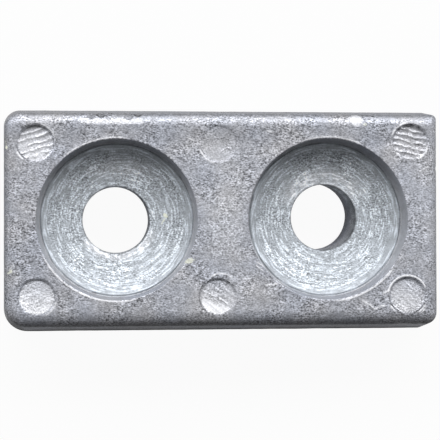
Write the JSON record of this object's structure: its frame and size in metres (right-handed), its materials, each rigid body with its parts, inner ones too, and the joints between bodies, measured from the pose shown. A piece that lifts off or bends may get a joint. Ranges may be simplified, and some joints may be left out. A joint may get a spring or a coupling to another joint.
{
  "type": "sacrificial anode",
  "caption": "Rectangular die-cast block anode with drafted sides, dished bolt seats and through bores, bolted by its flat back to an underwater metal part.",
  "frame": {"origin": "centre of the overall box on the flat back, halfway between the two bores", "axes": "+X along the block through both bores, +Y across the block, +Z out of the dished face"},
  "size_m": [0.0944, 0.049, 0.019],
  "materials": {
    "cast_metal": "pale grey die-cast anode alloy, dull, with a fine sparkle and light oxide"
  },
  "bodies": {
    "root": {"anode_casting": "cast_metal"}
  },
  "joints": []
}
